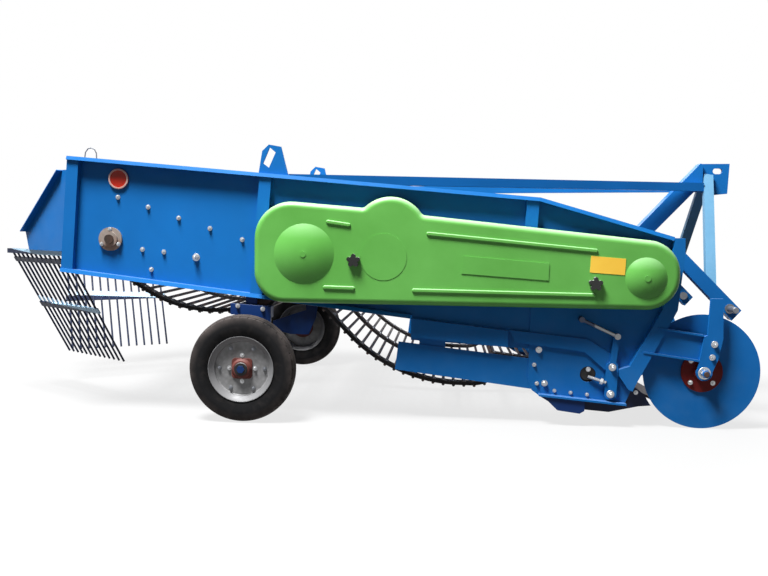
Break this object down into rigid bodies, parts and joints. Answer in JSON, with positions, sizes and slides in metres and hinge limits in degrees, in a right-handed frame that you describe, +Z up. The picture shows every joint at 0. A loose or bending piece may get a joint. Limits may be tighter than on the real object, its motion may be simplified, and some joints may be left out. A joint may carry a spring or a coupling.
{
  "type": "potato harvester",
  "caption": "Blue two-row mounted potato digger with elevator rod webs, disc coulters, rear combs, wheels and a green belt cover.",
  "frame": {"origin": "on the floor under the middle of the machine's outer box", "axes": "+X forward to the tractor, +Y to the machine's left, +Z up"},
  "size_m": [3.5312, 1.65, 1.19],
  "materials": {
    "blue_paint": "semi-gloss paint, dusty",
    "green_plastic": "moulded plastic with a soft sheen",
    "tyre_rubber": "matt black rubber with road dust",
    "zinc_rim": "pale grey paint",
    "red_paint": "satin red paint",
    "zinc_steel": "bright zinc plate",
    "bare_steel": "plain rolled steel",
    "belt_rubber": "matt black rubber",
    "dark_steel": "near-black paint",
    "navy_paint": "satin dark blue paint",
    "black_plastic": "moulded black plastic",
    "reflector_red": "moulded red reflector"
  },
  "bodies": {
    "frame": {"side_panel_left": "blue_paint", "side_panel_right": "blue_paint", "front_side_plates": "blue_paint", "lower_rails": "blue_paint", "lower_side_plates": "blue_paint", "front_legs": "blue_paint", "share_links": "blue_paint", "share_levers": "blue_paint", "share_rods": "zinc_steel", "skids": "blue_paint", "share_beam": "navy_paint", "share_cheeks": "navy_paint", "share_blades": "bare_steel", "tail_panels": "blue_paint", "comb_left": "navy_paint", "comb_right": "navy_paint", "cross_beams": "blue_paint", "headstock": "blue_paint", "headstock_legs": "blue_paint", "braces": "blue_paint", "hitch_arm_left": "blue_paint", "hitch_arm_right": "blue_paint", "hitch_pins": "zinc_steel", "gearbox": "blue_paint", "belt_cover": "green_plastic", "cover_knobs": "black_plastic", "front_web_belts": "belt_rubber", "front_web_rods": "dark_steel", "rear_web_belts": "belt_rubber", "rear_web_rods": "dark_steel", "web_shafts": "dark_steel", "roller_bearings": "blue_paint", "wheel_leg_left": "blue_paint", "wheel_leg_right": "blue_paint", "disc_bracket_left": "blue_paint", "disc_bracket_right": "blue_paint", "lifting_lugs": "blue_paint", "reflectors": "reflector_red"},
    "wheel_left": {"tyre_left": "tyre_rubber", "wheel_rim_left": "zinc_rim", "wheel_hub_left": "red_paint"},
    "wheel_right": {"tyre_right": "tyre_rubber", "wheel_rim_right": "zinc_rim", "wheel_hub_right": "red_paint"},
    "disc_left": {"disc_blade_left": "blue_paint", "disc_hub_left": "red_paint"},
    "disc_right": {"disc_blade_right": "blue_paint", "disc_hub_right": "red_paint"},
    "input_shaft": {"pto_shaft": "bare_steel"}
  },
  "joints": [
    {"name": "wheel_left_spin", "type": "hinge", "parent": "frame", "child": "wheel_left", "pos_m": [-0.47942, 0.775, 0.23], "axis": [0, 1, 0], "continuous": true},
    {"name": "wheel_right_spin", "type": "hinge", "parent": "frame", "child": "wheel_right", "pos_m": [-0.47942, -0.775, 0.23], "axis": [0, 1, 0], "continuous": true},
    {"name": "disc_left_spin", "type": "hinge", "parent": "frame", "child": "disc_left", "pos_m": [1.47658, 0.659, 0.245], "axis": [0, 1, 0], "continuous": true},
    {"name": "disc_right_spin", "type": "hinge", "parent": "frame", "child": "disc_right", "pos_m": [1.47658, -0.659, 0.245], "axis": [0, 1, 0], "continuous": true},
    {"name": "input_shaft_spin", "type": "hinge", "parent": "frame", "child": "input_shaft", "pos_m": [1.32058, 0, 0.645], "axis": [1, 0, 0], "continuous": true}
  ]
}
